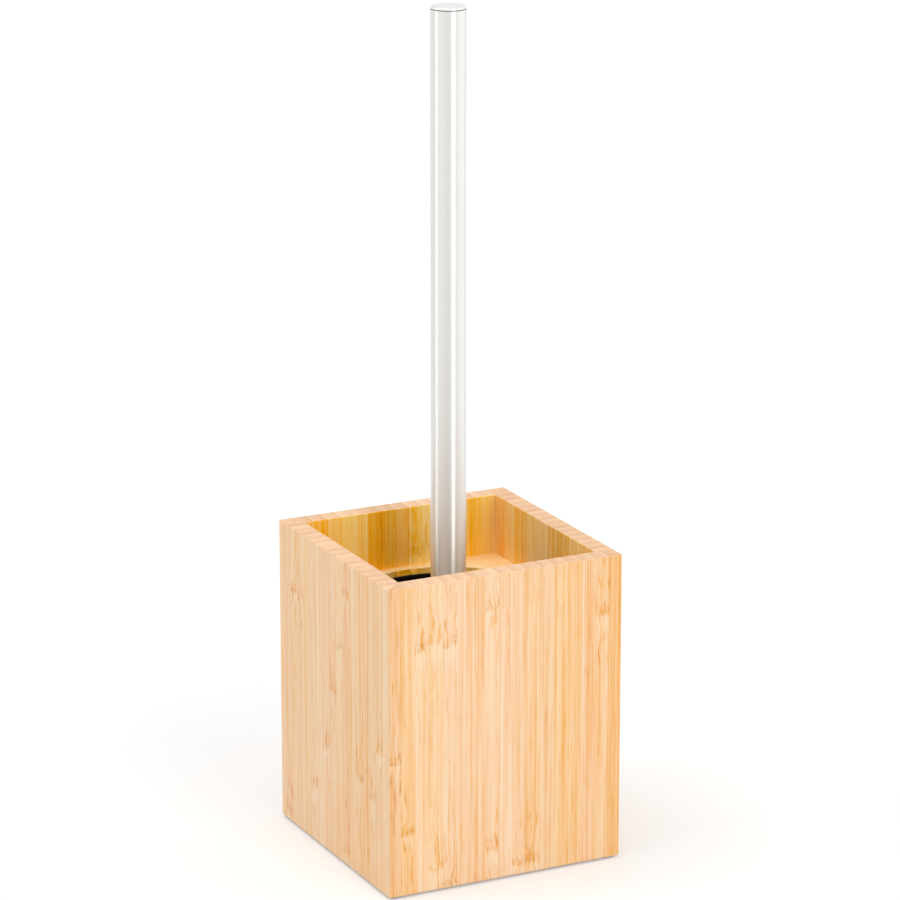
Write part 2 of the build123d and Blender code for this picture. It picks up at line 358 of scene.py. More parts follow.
    roughness = addNode(tree, "ShaderNodeMapRange", [fibre, *noiseRange, *look["roughness"]])
    relief = addNode(tree, "ShaderNodeMath", [scar, look["scarDent"], fibre], operation="MULTIPLY_ADD")
    bump = addNode(tree, "ShaderNodeBump", {"Strength": look["bump"], "Distance": look["bumpHeight"] * mm,
                                            "Height": relief})
    lacquer = addNode(tree, "ShaderNodeMapRange", [strip["inside"], 0.0, 1.0, *look["lacquer"]])
    wire(tree, shader, {"Base Color": colour, "Roughness": roughness, "Normal": bump, "IOR": look["ior"],
                        "Specular IOR Level": lacquer})
    return material


bambooX = makeBamboo("bambooPlanedStripsFront", 0, 1, 2)    # upright strips, side by side along X
bambooY = makeBamboo("bambooPlanedStripsSide", 1, 0, 2)     # upright strips, side by side along Y
bambooFlat = makeBamboo("bambooPlanedStripsFlat", 1, 2, 0)  # strips that run along X, for shelf and base
print("bamboo mixed")


# Strips of a glued-up board: tones run from 0, pale, to 9, deep, and knuckles are strip: depths from the
# board's top end. A board with no knuckles given gets them by chance
stripDraws = {"deepest": 9, "seedSpan": 9, "knuckleChance": 0.6, "knuckleDepths": (5, 145)}


def markStrips(bm, across, along, insideOf, starts, tones, seed, knuckles, alongTop, skinSide=0):
    draw = random.Random(seed)
    layers = {value: bm.faces.layers.float.new(value) for value in stripLayers}
    nowhere = -1000.0   # far off the board, for a strip without a knuckle
    stripValues = []
    for i, start in enumerate(starts):
        tone = int(tones[i]) / stripDraws["deepest"]
        heights = [alongTop - depth for depth in knuckles.get(i, ())]
        if not knuckles and draw.random() < stripDraws["knuckleChance"]:
            heights = [alongTop - draw.uniform(*stripDraws["knuckleDepths"])]
        heights = heights + [nowhere] * 2
        stripSeed = draw.uniform(0, stripDraws["seedSpan"])
        stripValues.append((tone, stripSeed, start, heights[0], heights[1], skinSide))
    bm.normal_update()
    for face in bm.faces:
        place = face.calc_center_median().dot(across) / mm
        values = stripValues[max(0, sum(start <= place for start in starts) - 1)]
        facing = (abs(face.normal.dot(along)), insideOf(face.normal))
        for value, amount in zip(stripLayers, (*values, *facing)):
            face[layers[value]] = amount


# The four walls: one section with eased edges and two grooves, drawn along the board and cut at the mitres
wallShape = {
    "cornerRound": 0.8, "cornerSteps": 3, "edgeRound": 0.5, "edgeSteps": 3, "grooveDepth": 3.0,
    "firstStrip": 6.0, "smoothAngle": 40,
}
# Turned by degrees from the front; the share of painted bounce light sets how warm the inner face is drawn,
# skinSide the denser side of a strip
walls = {
    "front_panel": {
        "turn": 0, "seed": 21, "material": bambooX, "skinSide": 0, "paintedBounceShare": 1.0,
        "tones": "95223351446556558",
        "knuckles": {0: (82,), 1: (118,), 2: (30,), 3: (26, 137), 4: (29, 147), 7: (15, 132), 9: (143,),
                     10: (142,), 15: (26,)},
    },
    "right_panel": {
        "turn": 90, "seed": 5, "material": bambooY, "skinSide": 0, "paintedBounceShare": 0.65,
        "tones": "44545456454654776",
        "knuckles": {1: (120,), 3: (70,), 5: (20,), 6: (110,), 8: (40,), 11: (95,), 13: (131,)},
    },
    "back_panel": {
        "turn": 180, "seed": 8, "material": bambooX, "skinSide": 0, "paintedBounceShare": 0.95,
        "tones": "54354423678423675",
        "knuckles": {1: (126,), 2: (96,), 4: (58,), 6: (21,), 7: (23, 141), 9: (118,), 12: (84,), 14: (41,)},
    },
    "left_panel": {
        "turn": 270, "seed": 34, "material": bambooY, "skinSide": 1, "paintedBounceShare": 1.0,
        "tones": "36253314415355541",
        "knuckles": {1: (145,), 2: (29,), 3: (31,), 5: (120,), 7: (96,), 8: (65,), 9: (42,), 10: (15, 142),
                     12: (100,), 14: (105,), 15: (80,)},
    },
}


def makeWall(node, wall):
    shape = wallShape
    low, high = boxInMm("front_panel")
    half, thickness = -low.y, high.y - low.y
    shelfLow, shelfHigh = boxInMm("shelf_panel")
    baseLow, baseHigh = boxInMm("base_panel")
    ease = shape["edgeRound"]
    grooveEdge = thickness - shape["grooveDepth"]
    section = [(0, low.z, ease), (0, high.z, ease), (thickness, high.z, ease)]
    for top, bottom in ((shelfHigh.z, shelfLow.z), (baseHigh.z, baseLow.z)):
        section += [(thickness, top, 0), (grooveEdge, top, 0)]
        section += [(grooveEdge, bottom, 0), (thickness, bottom, 0)]
    section.append((thickness, low.z, 0))
    outline = roundedOutline(section, arcSteps=shape["edgeSteps"])

    # Stations along the board: its strips, and close ones where the corner is rounded
    cornerRound, cornerSteps = shape["cornerRound"], shape["cornerSteps"]
    starts = [-half]
    pitch = bambooLook["stripPitch"]
    while starts[-1] < half - pitch:
        starts.append(shape["firstStrip"] - half + pitch * (len(starts) - 1))
    stations = {-half, half, *starts}
    mitre = 45   # degrees, so each board has half of the corner's rounding
    for step in range(cornerSteps + 1):
        reach = half - cornerRound + cornerRound * math.sin(math.radians(mitre * step / cornerSteps))
        stations |= {-reach, reach}
    bm = bmesh.new()
    rings = []
    for station in sorted(stations):
        past = max(0.0, abs(station) - (half - cornerRound))
        drawnIn = cornerRound - math.sqrt(max(0.0, cornerRound ** 2 - past ** 2))
        ring = []
        for point in outline:
            inward = drawnIn + point.x * (thickness - drawnIn) / thickness
            ring.append(bm.verts.new((station * mm, (inward - half) * mm, point.y * mm)))
        rings.append(ring)
    for first, second in zip(rings, rings[1:]):
        for i in range(len(outline)):
            ahead = (i + 1) % len(outline)
            bm.faces.new((first[i], first[ahead], second[ahead], second[i]))
    for side in (-1, 1):
        cut = bmesh.ops.bisect_plane(bm, geom=[*bm.verts, *bm.edges, *bm.faces], dist=cutGap,
                                     plane_co=(0, 0, 0), plane_no=(side, 1, 0), clear_outer=True)
        cutEdges = [item for item in cut["geom_cut"] if isinstance(item, bmesh.types.BMEdge)]
        bmesh.ops.edgeloop_fill(bm, edges=cutEdges)
    bmesh.ops.recalc_face_normals(bm, faces=bm.faces)

    # Marked while the board still faces the front, then turned to its side of the box
    # The inner face takes its wall's share of painted bounce light, which warms and deepens its tone
    markStrips(bm, Vector((1, 0, 0)), Vector((0, 0, 1)), lambda normal: wall["paintedBounceShare"] * max(0.0, normal.y),
               starts, wall["tones"], wall["seed"], wall["knuckles"], high.z, wall["skinSide"])
    turn = Matrix.Rotation(math.radians(wall["turn"]), 3, "Z")
    bmesh.ops.rotate(bm, cent=(0, 0, 0), matrix=turn, verts=bm.verts)
    acrossAxis = turn @ Vector((1, 0, 0))
    flip = acrossAxis.x + acrossAxis.y   # the board's own axis may run against X or Y once it is turned
    startLayer = bm.faces.layers.float["stripStart"]
    for face in bm.faces:
        face[startLayer] *= round(flip)
    piece = newPiece(node + "_strips", bm, [wall["material"]], shape["smoothAngle"])
    seat(piece, node)


for node, wall in walls.items():
    makeWall(node, wall)
print("walls glued up")


# Shelf and base: the planed panels as they are, cut into strips that run along X. Upper faces have their own
# share of the painted bounce light, and the shelf's cut edges are deeper in tone, which is painted shade
flatPanels = {
    "shelf_panel": {"seed": 13, "stripPitch": 7.15, "tones": "010200103020010", "upperPaintedBounceShare": 0.5,
                    "paintedBounceShare": 1.0, "edgePaintedShade": 0.5},
    "base_panel": {"seed": 17, "stripPitch": 20.0, "tones": "3524153", "upperPaintedBounceShare": 0.5,
                   "paintedBounceShare": 0.1, "edgePaintedShade": 0.0},
}
flatPanelShape = {"steep": 0.5, "smoothAngle": 30}   # a face whose normal rises less than steep is an edge


def makeFlatPanel(node, panel):
    steep = flatPanelShape["steep"]
    low, high = boxInMm(node)
    bm = bmesh.new()
    bm.from_mesh(nodes[node].data)
    bmesh.ops.remove_doubles(bm, verts=bm.verts, dist=mergeGap)
    starts = [low.y]
    while starts[-1] + panel["stripPitch"] < high.y:
        starts.append(starts[-1] + panel["stripPitch"])
        bmesh.ops.bisect_plane(bm, geom=[*bm.verts, *bm.edges, *bm.faces], dist=cutGap,
                               plane_co=(0, starts[-1] * mm, 0), plane_no=(0, 1, 0))
    markStrips(bm, Vector((0, 1, 0)), Vector((1, 0, 0)),
               lambda normal: panel["upperPaintedBounceShare"] if normal.z > steep else panel["paintedBounceShare"],
               starts, panel["tones"], panel["seed"], {}, high.x)
    toneLayer = bm.faces.layers.float["stripTone"]
    # Painted shade: edges, the wall of the shelf's hole among them, are drawn deeper in tone
    for face in bm.faces:
        if abs(face.normal.z) < steep:
            face[toneLayer] += panel["edgePaintedShade"]
    piece = newPiece(node + "_strips", bm, [bambooFlat], flatPanelShape["smoothAngle"])
    seat(piece, node)


for node, panel in flatPanels.items():
    makeFlatPanel(node, panel)
print("shelf and base set in")


# Stainless steel tube, finely brushed round its girth: crisp upright bands of light, drawn out along it. The
# brush lines are coarser than real ones, and still too fine to show with the whole object in view
brushedLook = {
    "steel": "#E9E9E6", "roughness": (0.4, 0.44), "lineHeight": 0.25, "lineLength": 9.0, "detail": 2.0,
    "draw": 1.0, "drawTurn": 0.25,   # a quarter turn from the girth, so that light is drawn out upright
}


def makeBrushedSteel():
    look = brushedLook
    material, tree, shader, coords = newMaterial("stainlessSteelBrushed")
    across, along = 1 / (look["lineLength"] * mm), 1 / (look["lineHeight"] * mm)
    scaled = addNode(tree, "ShaderNodeMapping", {0: coords, 3: (across, across, along)})
    lines = addNode(tree, "ShaderNodeTexNoise", {"Vector": scaled, "Scale": 1.0, "Detail": look["detail"]})
    roughness = addNode(tree, "ShaderNodeMapRange", [lines, *noiseRange, *look["roughness"]])
    girth = addNode(tree, "ShaderNodeTangent", direction_type="RADIAL", axis="Z")
    wire(tree, shader, {"Base Color": tint(look["steel"]), "Metallic": 1.0, "Roughness": roughness,
                        "Tangent": girth, "Anisotropic": look["draw"],
                        "Anisotropic Rotation": look["drawTurn"]})
    return material


# Turned steel, for cap and fittings: the same metal with rings from the lathe, coarser than the real ones and
# still too fine to show with the whole object in view
turnedLook = {"steel": "#E6E6E4", "roughness": (0.2, 0.3), "ringWidth": 0.35, "detail": 2.0, "bump": 0.1,
              "bumpHeight": 0.01}
# Painted shade: in the seam under the cap the steel is drawn darker and duller, a fine dark line round the
# tube
seamPaintedShadeLook = {**turnedLook, "steel": "#80807E", "roughness": (0.35, 0.5)}


def makeTurnedSteel(name, look):
    material, tree, shader, coords = newMaterial(name)
    flat = addNode(tree, "ShaderNodeVectorMath", [coords, (1, 1, 0)], operation="MULTIPLY")
    radius = addNode(tree, "ShaderNodeVectorMath", [flat], operation="LENGTH").outputs["Value"]
    ringPlace = addNode(tree, "ShaderNodeMath", [radius, 1 / (look["ringWidth"] * mm)], operation="MULTIPLY")
    rings = addNode(tree, "ShaderNodeTexNoise", {"W": ringPlace, "Scale": 1.0, "Detail": look["detail"]},
                    noise_dimensions="1D")
    roughness = addNode(tree, "ShaderNodeMapRange", [rings, *noiseRange, *look["roughness"]])
    bump = addNode(tree, "ShaderNodeBump", {"Strength": look["bump"], "Distance": look["bumpHeight"] * mm,
                                            "Height": rings})
    wire(tree, shader, {"Base Color": tint(look["steel"]), "Metallic": 1.0, "Roughness": roughness,
                        "Normal": bump})
    return material


# Polypropylene, injection-moulded in black: soft broad sheen over a spark-eroded grain, which is coarser than
# a real one, and still too faint to show with the whole object in view
polypropyleneLook = {
    "black": "#0A0909", "worn": "#121111", "roughness": (0.5, 0.62), "sheen": 0.08, "ior": 1.49,
    "grain": 0.6, "cloud": 22.0, "detail": 2.0, "bump": 0.15, "bumpHeight": 0.05,
}


def makePolypropylene():
    look = polypropyleneLook
    material, tree, shader, coords = newMaterial("polypropyleneMoulded")
    noises = []
    for size in (look["grain"], look["cloud"]):
        noises.append(addNode(tree, "ShaderNodeTexNoise", {"Vector": coords, "Scale": 1 / (size * mm),
                                                           "Detail": look["detail"]}))
    grain, cloud = noises
    colour = addNode(tree, "ShaderNodeMix", {0: cloud, 6: tint(look["black"]), 7: tint(look["worn"])},
                     data_type="RGBA")
    roughness = addNode(tree, "ShaderNodeMapRange", [cloud, *noiseRange, *look["roughness"]])
    bump = addNode(tree, "ShaderNodeBump", {"Strength": look["bump"], "Distance": look["bumpHeight"] * mm,
                                            "Height": grain})
    wire(tree, shader, {"Base Color": colour, "Roughness": roughness, "Normal": bump, "IOR": look["ior"],
                        "Specular IOR Level": look["sheen"]})
    return material


# Nylon monofilament, extruded and cut: black strands with a satin glint, a spread in tone, and painted light
# that greys each strand towards its tip
nylonLook = {"black": "#191817", "grey": "#33312F", "paintedTipLight": "#4D4A47", "roughness": 0.28, "ior": 1.53,
             "spread": 2.5, "endShare": (0.7, 1.0)}


def makeNylon():
    look = nylonLook
    material, tree, shader, coords = newMaterial("nylonMonofilament")
    spread = addNode(tree, "ShaderNodeTexNoise", {"Vector": coords, "Scale": 1 / (look["spread"] * mm),
                                                  "Detail": 1.0})
    strand = addNode(tree, "ShaderNodeMix", {0: spread, 6: tint(look["black"]), 7: tint(look["grey"])},
                     data_type="RGBA")
    along = addNode(tree, "ShaderNodeAttribute", attribute_name="alongStrand").outputs["Fac"]
    paintedTipLightShare = addNode(tree, "ShaderNodeMapRange", [along, *look["endShare"]])
    colour = addNode(tree, "ShaderNodeMix", {0: paintedTipLightShare, 6: strand, 7: tint(look["paintedTipLight"])},
                     data_type="RGBA")
    wire(tree, shader, {"Base Color": colour, "Roughness": look["roughness"], "IOR": look["ior"]})
    return material


# Silicone, moulded: milky grey, soft and dull, with a dusting of grip texture, coarser than a real one and
# still hardly seen with the whole object in view
siliconeLook = {"milky": "#C9C8C3", "dusty": "#B4B2AC", "roughness": 0.62, "ior": 1.41, "grain": 0.5,
                "detail": 2.0, "bump": 0.2, "bumpHeight": 0.05}


def makeSilicone():
    look = siliconeLook
    material, tree, shader, coords = newMaterial("siliconeMoulded")
    grain = addNode(tree, "ShaderNodeTexNoise", {"Vector": coords, "Scale": 1 / (look["grain"] * mm),
                                                 "Detail": look["detail"]})
    colour = addNode(tree, "ShaderNodeMix", {0: grain, 6: tint(look["milky"]), 7: tint(look["dusty"])},
                     data_type="RGBA")
    bump = addNode(tree, "ShaderNodeBump", {"Strength": look["bump"], "Distance": look["bumpHeight"] * mm,
                                            "Height": grain})
    wire(tree, shader, {"Base Color": colour, "Roughness": look["roughness"], "Normal": bump,
                        "IOR": look["ior"]})
    return material


brushedSteel = makeBrushedSteel()
turnedSteel = makeTurnedSteel("stainlessSteelTurned", turnedLook)
seamPaintedShadeSteel = makeTurnedSteel("stainlessSteelPaintedShadeInSeam", seamPaintedShadeLook)
polypropylene = makePolypropylene()
nylon = makeNylon()
silicone = makeSilicone()
print("metals and plastics mixed")


# Foot pads, one under each corner
padShape = {"edgeRound": 0.3, "turnSteps": 64}
for node in [name for name in nodes if name.startswith("foot_pad")]:
    low, high = boxInMm(node)
    middle = (low + high) / 2
    radius = (high.x - low.x) / 2
    corners = [(0, low.z, 0), (radius, low.z, padShape["edgeRound"]), (radius, high.z, 0), (0, high.z, 0)]
    pad = lathe(node + "_disc", corners, silicone, place=(middle.x, middle.y),
                turnSteps=padShape["turnSteps"])
    seat(pad, node)
print("pads fitted")


# Liner cup: drafted wall, rounded lip, rounded floor and a standing ring
linerShape = {
    "wall": 1.8, "draft": 1.0, "floor": 2.0, "ringWidth": 4.0, "ringHeight": 1.0,
    "ringRound": 0.3, "footRound": 2.5, "floorRound": 6.0, "lipRound": 0.55, "turnSteps": 160,
}


def makeLiner():
    shape = linerShape
    low, high = boxInMm("liner_cup")
    slope = math.tan(math.radians(shape["draft"]))
    rimRadius = high.x
    footRadius = rimRadius - (high.z - low.z) * slope
    floorUnder = low.z + shape["ringHeight"]
    floorTop = floorUnder + shape["floor"]
    floorRadius = footRadius + (floorTop - low.z) * slope - shape["wall"]
    ringInside = footRadius - shape["ringWidth"]
    corners = [
        (0, floorUnder, 0), (ringInside, floorUnder, 0), (ringInside, low.z, shape["ringRound"]),
        (footRadius, low.z, shape["footRound"]), (rimRadius, high.z, shape["lipRound"]),
        (rimRadius - shape["wall"], high.z, shape["lipRound"]), (floorRadius, floorTop, shape["floorRound"]),
        (0, floorTop, 0),
    ]
    return lathe("liner_cup_moulding", corners, polypropylene, turnSteps=shape["turnSteps"])


seat(makeLiner(), "liner_cup")
print("liner moulded")


# Handle: brushed tube, turned cap with its spigot, threaded bush in the lower end
handleShape = {
    "tubeWall": 1.2, "pressGap": 0.03, "seamRound": 0.25, "capRound": 0.6, "spigotRound": 0.4,
    "boreRadius": 4.1, "mouthBevel": 0.8, "turnSteps": 160,
}


def makeHandle():
    shape = handleShape
    steps = shape["turnSteps"]
    tubeLow, tubeHigh = boxInMm("handle_tube")
    capLow, capHigh = boxInMm("handle_cap")
    bushLow, bushHigh = boxInMm("handle_insert")
    radius = tubeHigh.x
    bore = radius - shape["tubeWall"]
    seam = shape["seamRound"]
    tubeCorners = [(bore, tubeLow.z, 0), (radius, tubeLow.z, seam), (radius, tubeHigh.z, seam),
                   (bore, tubeHigh.z, 0)]
    tube = lathe("handle_tube_brushed", tubeCorners, brushedSteel, closed=True, turnSteps=steps)
    plug = bore - shape["pressGap"]
    capCorners = [(0, capHigh.z, 0), (radius, capHigh.z, shape["capRound"]), (radius, tubeHigh.z, seam),
                  (plug, tubeHigh.z, 0), (plug, capLow.z, shape["spigotRound"]), (0, capLow.z, 0)]
    cap = lathe("handle_cap_turned", capCorners, turnedSteel, turnSteps=steps)
    # Faces in the seam take the steel with painted shade
    for piece in (tube, cap):
        piece.data.materials.append(seamPaintedShadeSteel)
        for polygon in piece.data.polygons:
            if abs(polygon.center.z / mm - tubeHigh.z) < seam:
                polygon.material_index = 1
    mouthRadius, mouthTop = shape["boreRadius"] + shape["mouthBevel"], bushLow.z + shape["mouthBevel"]
    bushCorners = [(shape["boreRadius"], bushHigh.z, 0), (shape["boreRadius"], mouthTop, 0),
                   (mouthRadius, bushLow.z, 0), (plug, bushLow.z, 0), (plug, bushHigh.z, 0)]
    bush = lathe("handle_insert_turned", bushCorners, turnedSteel, closed=True)
    return {"handle_tube": tube, "handle_cap": cap, "handle_insert": bush}


for node, piece in makeHandle().items():
    seat(piece, node)
print("handle assembled")


# Node trees: named inputs by kind, and an end that every tree shares
def newTree(name, inputs):
    tree = bpy.data.node_groups.new(name, "GeometryNodeTree")
    tree.interface.new_socket("Geometry", in_out="OUTPUT", socket_type="NodeSocketGeometry")
    for kind, names in inputs.items():
        for inputName in names:
            tree.interface.new_socket(inputName, in_out="INPUT", socket_type="NodeSocket" + kind)
    return tree, addNode(tree, "NodeGroupInput").outputs


def endTree(tree, geometry, material):
    real = addNode(tree, "GeometryNodeRealizeInstances", [geometry])
    finished = addNode(tree, "GeometryNodeSetMaterial", {"Geometry": real, "Material": material})
    addNode(tree, "NodeGroupOutput", [finished])


# Runs a node tree on an empty mesh and keeps the result as a plain mesh
def growMesh(name, tree, values):
    holder = bpy.data.objects.new(name + "Holder", bpy.data.meshes.new(name + "Holder"))
    scene.collection.objects.link(holder)
    modifier = holder.modifiers.new(name, "NODES")
    modifier.node_group = tree
    for item in tree.interface.items_tree:
        if item.in_out == "INPUT" and item.name in values:
            modifier[item.identifier] = values[item.name]
    bpy.context.view_layer.update()
    graph = bpy.context.evaluated_depsgraph_get()
    mesh = bpy.data.meshes.new_from_object(holder.evaluated_get(graph), depsgraph=graph)
    mesh.name = name
    holder.modifiers.remove(modifier)
    bpy.data.objects.remove(holder)
    return mesh


# Stud: a cylinder of many small faces, pushed in and out along a right-hand thread
studShape = {
    "pitch": 1.25, "threadDepth": 0.68, "flank": (0.06, 0.42), "endBevel": 0.8,   # flank in shares of a pitch
    "turnSteps": 48, "stepsPerPitch": 10, "smoothAngle": 50,
}


def makeThreadTree():
    tree, given = newTree("threadedStud", {
        "Float": ("Radius", "Length", "Base Height", "Pitch", "Thread Depth", "End Bevel"),
        "Int": ("Turn Steps", "Length Steps"),
        "Material": ("Metal",),
    })
    radius, length = given["Radius"], given["Length"]
    rod = addNode(tree, "GeometryNodeMeshCylinder", {
        "Vertices": given["Turn Steps"], "Side Segments": given["Length Steps"], "Radius": radius,
        "Depth": length})
    x, y, z = addNode(tree, "ShaderNodeSeparateXYZ", [addNode(tree, "GeometryNodeInputPosition")]).outputs
    angle = addNode(tree, "ShaderNodeMath", [y, x], operation="ARCTAN2")
    turns = addNode(tree, "ShaderNodeMath", [angle, 2 * math.pi], operation="DIVIDE")
    climbs = addNode(tree, "ShaderNodeMath", [z, given["Pitch"]], operation="DIVIDE")
    phase = addNode(tree, "ShaderNodeMath", [climbs, turns], operation="SUBTRACT")
    wave = addNode(tree, "ShaderNodeMath", [phase, 0.5], operation="PINGPONG")
    groove = addNode(tree, "ShaderNodeMapRange", [wave, *studShape["flank"], 0.0, given["Thread Depth"]])
    threaded = addNode(tree, "ShaderNodeMath", [radius, groove], operation="SUBTRACT")
    halfLength = addNode(tree, "ShaderNodeMath", [length, 0.5], operation="MULTIPLY")
    fromMiddle = addNode(tree, "ShaderNodeMath", [z], operation="ABSOLUTE")
    toEnd = addNode(tree, "ShaderNodeMath", [halfLength, fromMiddle], operation="SUBTRACT")
    endRadius = addNode(tree, "ShaderNodeMath", [radius, given["End Bevel"]], operation="SUBTRACT")
    bevel = addNode(tree, "ShaderNodeMath", [endRadius, toEnd], operation="ADD")
    cutRadius = addNode(tree, "ShaderNodeMath", [threaded, bevel], operation="MINIMUM")
    ratio = addNode(tree, "ShaderNodeMath", [cutRadius, radius], operation="DIVIDE")
    cutX = addNode(tree, "ShaderNodeMath", [x, ratio], operation="MULTIPLY")
    cutY = addNode(tree, "ShaderNodeMath", [y, ratio], operation="MULTIPLY")
    raised = addNode(tree, "ShaderNodeMath", [z, halfLength], operation="ADD")
    cutZ = addNode(tree, "ShaderNodeMath", [raised, given["Base Height"]], operation="ADD")
    moved = addNode(tree, "ShaderNodeCombineXYZ", [cutX, cutY, cutZ])
    cut = addNode(tree, "GeometryNodeSetPosition", {"Geometry": rod, "Position": moved})
    endTree(tree, cut, given["Metal"])
    return tree


def makeStud():
    shape = studShape
    low, high = boxInMm("head_stud")
    length = high.z - low.z
    mesh = growMesh("head_stud_threaded", makeThreadTree(), {
        "Radius": high.x * mm, "Length": length * mm, "Base Height": low.z * mm,
        "Pitch": shape["pitch"] * mm, "Thread Depth": shape["threadDepth"] * mm,
        "End Bevel": shape["endBevel"] * mm, "Turn Steps": shape["turnSteps"],
        "Length Steps": round(length / shape["pitch"] * shape["stepsPerPitch"]), "Metal": turnedSteel,
    })
    return showMesh("head_stud_threaded", mesh, shape["smoothAngle"])


seat(makeStud(), "head_stud")
print("stud threaded")


# Brush head: core with its neck, then tufts of filaments on a sleeve and on a half ball
headShape = {
    "backingRadius": 14.0, "coreRadius": 11.5, "backingGap": 0.05, "neckHeight": 10.0, "socketRadius": 4.1,
    "shoulderRound": 0.8, "neckRound": 1.5, "collarRound": 0.3,
    "ballStep": 6, "turnSteps": 96, "smoothAngle": 50,   # the half ball is drawn in steps of so many degrees
}
sideTufts = {"rows": 8, "perRow": 28, "pitch": 5.2, "margin": 2.0}
tipRings = (24, 24, 24, 24, 24, 12, 6)   # tufts in each ring on the half ball, from the side down
tuft = {
    "filaments": 34, "filamentSides": 3, "filamentSteps": 3, "filamentRadius": 0.2, "rootRadius": 1.15,
    "spread": 7.0, "bend": 2.2, "bury": 1.2, "uneven": 0.045, "seed": 3,
}


def makeCore():
    shape = headShape
    low, high = boxInMm("brush_core")
    tubeRadius = boxInMm("handle_tube")[1].x
    headTop = boxInMm("side_bristles")[1].z
    socketFloor = boxInMm("head_stud")[0].z
    corners = [
        (0, low.z, 0), (shape["coreRadius"], low.z, 0), (shape["coreRadius"], headTop, 0),
        (shape["backingRadius"], headTop, shape["shoulderRound"]),
        (tubeRadius, headTop + shape["neckHeight"], shape["neckRound"]),
        (tubeRadius, high.z, shape["collarRound"]), (shape["socketRadius"], high.z, 0),
        (shape["socketRadius"], socketFloor, 0), (0, socketFloor, 0),
    ]
    return lathe("brush_core_moulding", corners, polypropylene)


def makeTuftTree():
    tree, given = newTree("bristleTufts", {
        "Object": ("Roots",),
        "Float": ("Length", "Root Radius", "Filament Radius", "Spread", "Bend", "Uneven"),
        "Int": ("Filaments", "Seed"),
        "Material": ("Bristle",),
    })

    # One filament: a three-sided rod that leans out more towards its end
    rod = addNode(tree, "GeometryNodeMeshCone", {
        "Vertices": tuft["filamentSides"], "Side Segments": tuft["filamentSteps"], "Depth": given["Length"],
        "Radius Top": given["Filament Radius"], "Radius Bottom": given["Filament Radius"]})
    place = addNode(tree, "ShaderNodeSeparateXYZ", [addNode(tree, "GeometryNodeInputPosition")])
    along = addNode(tree, "ShaderNodeMath", [place.outputs["Z"], given["Length"]], operation="DIVIDE")
    square = addNode(tree, "ShaderNodeMath", [along, along], operation="MULTIPLY")
    lean = addNode(tree, "ShaderNodeMath", [square, given["Bend"]], operation="MULTIPLY")
    leanOut = addNode(tree, "ShaderNodeCombineXYZ", [lean])
    # The share along each strand, root to tip, which the nylon uses for painted light towards the tips
    graded = addNode(tree, "GeometryNodeStoreNamedAttribute", {"Geometry": rod, "Name": "alongStrand",
                                                               "Value": along})
    filament = addNode(tree, "GeometryNodeSetPosition", {"Geometry": graded, "Offset": leanOut})

    # One tuft: filaments packed as seeds in a sunflower, tilted outwards in step with their place
    number = addNode(tree, "GeometryNodeInputIndex")
    share = addNode(tree, "ShaderNodeMath", [number, given["Filaments"]], operation="DIVIDE")
    outward = addNode(tree, "ShaderNodeMath", [share], operation="SQRT")
    goldenAngle = math.pi * (3 - math.sqrt(5))
    around = addNode(tree, "ShaderNodeMath", [number, goldenAngle], operation="MULTIPLY")
    cosine = addNode(tree, "ShaderNodeMath", [around], operation="COSINE")
    sine = addNode(tree, "ShaderNodeMath", [around], operation="SINE")
    unit = addNode(tree, "ShaderNodeCombineXYZ", [cosine, sine])
    distance = addNode(tree, "ShaderNodeMath", [outward, given["Root Radius"]], operation="MULTIPLY")
    spot = addNode(tree, "ShaderNodeVectorMath", {0: unit, "Scale": distance}, operation="SCALE")
    packed = addNode(tree, "GeometryNodePoints", {"Count": given["Filaments"], "Position": spot})
    tilt = addNode(tree, "ShaderNodeMath", [outward, given["Spread"]], operation="MULTIPLY")
    lay = addNode(tree, "ShaderNodeCombineXYZ", {1: tilt, 2: around})
    shortest = addNode(tree, "ShaderNodeMath", [1.0, given["Uneven"]], operation="SUBTRACT")
    uneven = addNode(tree, "FunctionNodeRandomValue", {2: shortest, 3: 1.0, "Seed": given["Seed"]},
                     data_type="FLOAT").outputs[1]
    stretch = addNode(tree, "ShaderNodeCombineXYZ", [1.0, 1.0, uneven])
    tuftShape = addNode(tree, "GeometryNodeInstanceOnPoints", {"Points": packed, "Instance": filament,
                                                              "Rotation": lay, "Scale": stretch})
    tuftMesh = addNode(tree, "GeometryNodeRealizeInstances", [tuftShape])

    # Every tuft stands along the direction stored at its root, each turned by its own amount
    roots = addNode(tree, "GeometryNodeObjectInfo", {"Object": given["Roots"]}).outputs["Geometry"]
    direction = addNode(tree, "GeometryNodeInputNamedAttribute", {"Name": "direction"},
                        data_type="FLOAT_VECTOR")
    spin = addNode(tree, "FunctionNodeRandomValue", {2: 0.0, 3: 2 * math.pi, "Seed": given["Seed"]},
                   data_type="FLOAT").outputs[1]
    spun = addNode(tree, "FunctionNodeEulerToRotation", [addNode(tree, "ShaderNodeCombineXYZ", {2: spin})])
    stand = addNode(tree, "FunctionNodeAlignRotationToVector", {"Rotation": spun, "Vector": direction},
                    axis="Z")
    stood = addNode(tree, "GeometryNodeInstanceOnPoints", {"Points": roots, "Instance": tuftMesh,
                                                          "Rotation": stand})
    endTree(tree, stood, given["Bristle"])
    return tree


# Points where the tufts leave the backing, each with its outward direction
def makeRoots(name, places):
    mesh = bpy.data.meshes.new(name)
    mesh.from_pydata([place for place, direction in places], [], [])
    layer = mesh.attributes.new("direction", "FLOAT_VECTOR", "POINT")
    for i, (place, direction) in enumerate(places):
        layer.data[i].vector = direction
    roots = bpy.data.objects.new(name, mesh)
    scene.collection.objects.link(roots)
    return roots


def rootAt(around, drop, height):
    turn, dip = math.radians(around), math.radians(drop)
    direction = Vector((math.cos(turn) * math.cos(dip), math.sin(turn) * math.cos(dip), -math.sin(dip)))
    reach = headShape["backingRadius"] - tuft["bury"]
    return (direction * reach + Vector((0, 0, height))) * mm, direction


